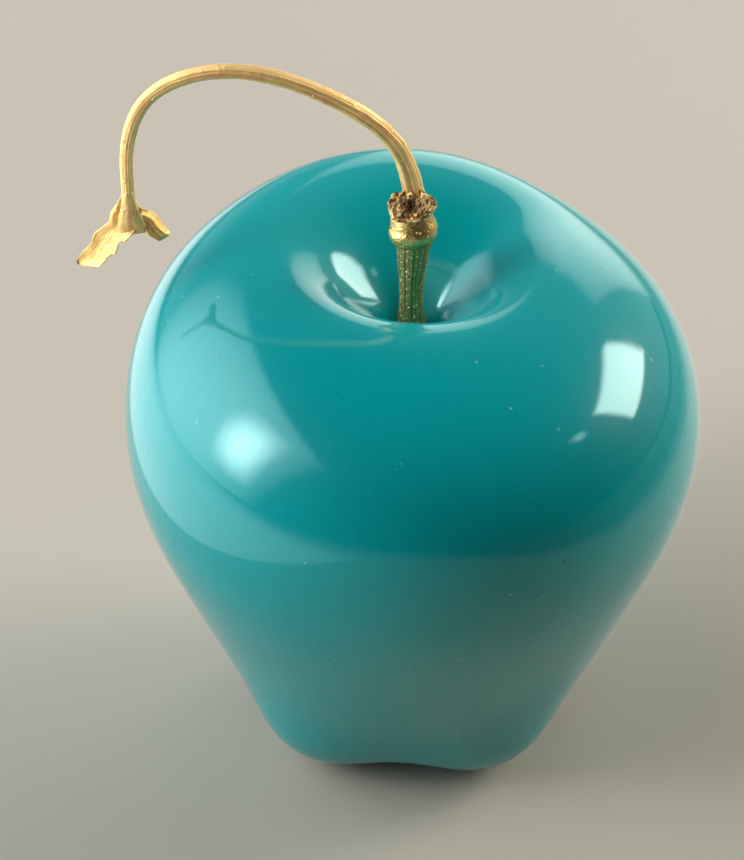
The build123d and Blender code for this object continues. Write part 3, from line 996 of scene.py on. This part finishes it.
def make_room():
    """Dark room in front and a pale wall behind that fades upwards."""
    world = bpy.data.worlds.new("studio")
    world.use_nodes = True
    tree = world.node_tree
    place = split(tree, add(tree, "ShaderNodeTexCoord").outputs["Generated"])
    behind = remap(tree, place["Y"], stop=0.6, soft=True)
    low = remap(tree, place["Z"], start=0.97, stop=0.75, soft=True)
    high = remap(tree, place["Z"], start=0.12, stop=0.4, soft=True)
    wall = blend_node(tree, high, WALL_LOW, WALL_HIGH)
    pale = math_node(tree, "MULTIPLY", behind, low)
    connect(tree, tree.nodes["Background"].inputs["Color"], blend_node(tree, pale, ROOM_DARK, wall))
    bpy.context.scene.world = world


def make_camera():
    e = math.radians(CAMERA_ELEVATION)
    aim = Vector(CAMERA_AIM) * MM
    camera = bpy.data.cameras.new("camera")
    camera.lens = CAMERA_LENS
    holder = bpy.data.objects.new("camera", camera)
    holder.location = aim + Vector((0, -math.cos(e), math.sin(e))) * CAMERA_DISTANCE * MM
    holder.rotation_euler = (math.pi / 2 - e, 0, 0)
    bpy.context.scene.collection.objects.link(holder)
    bpy.context.scene.camera = holder


def make_apple():
    """Every piece of the apple, in place of its solid, and finishes for the two solids that stay."""
    stalk_gilt = gilt_metal(
        "stalk_gilt",
        STALK_GOLD,
        COPPER,
        lines=(2.6, 5.0),
        specks=(2200.0, 0.06),
        metal_share=0.46,
        dullness=(0.42, 0.6),
        seam=(0.76, 0.09, RUST),
    )
    # The spur's gold carries a painted teal reflection of the glass round it
    spur_gilt = gilt_metal(
        "spur_gilt",
        SPUR_GOLD_PAINTED_TEAL,
        SPUR_WORN_PAINTED_TEAL,
        lines=(9.0, 3.0),
        specks=(2600.0, 0.38),
        metal_share=0.7,
        dullness=(0.38, 0.54),
        foot=(0.12, 0.2, BROWN),
    )
    collar_gilt = gilt_metal(
        "collar_gilt",
        COLLAR_GOLD,
        COLLAR_BRONZE,
        lines=(5.0, 6.0),
        specks=(2600.0, 0.14),
        metal_share=0.88,
        dullness=(0.24, 0.4),
        foot=(0.12, 0.2, BROWN),
    )
    leaf_gilt = gilt_metal(
        "leaf_gilt",
        LEAF_GOLD,
        LEAF_COPPER,
        lines=(3.0, 5.0),
        specks=(2200.0, 0.06),
        metal_share=0.8,
        dullness=(0.42, 0.6),
    )
    dress(make_glass(), "glass_body")
    dress(make_arch(stalk_gilt), "pedicel_arch")
    dress(make_spur(spur_gilt), "stem_spur")
    dress(make_knuckle(collar_gilt), "spur_knuckle")
    dress(make_scar(scar_metal()), "bud_scar")
    dress(make_large_bract(leaf_gilt), "large_bract")
    dress(make_small_bract(leaf_gilt), "small_bract")
    dress(make_fork(stalk_gilt), "tip_fork")
    for name, material in (("stem_peg", drawn_brass()), ("peg_adhesive", cured_resin())):
        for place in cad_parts[name].material_slots:
            place.material = material


def main():
    make_apple()
    make_floor()
    make_light()
    make_room()
    make_camera()
    bpy.context.scene.view_settings.view_transform = "Standard"


main()
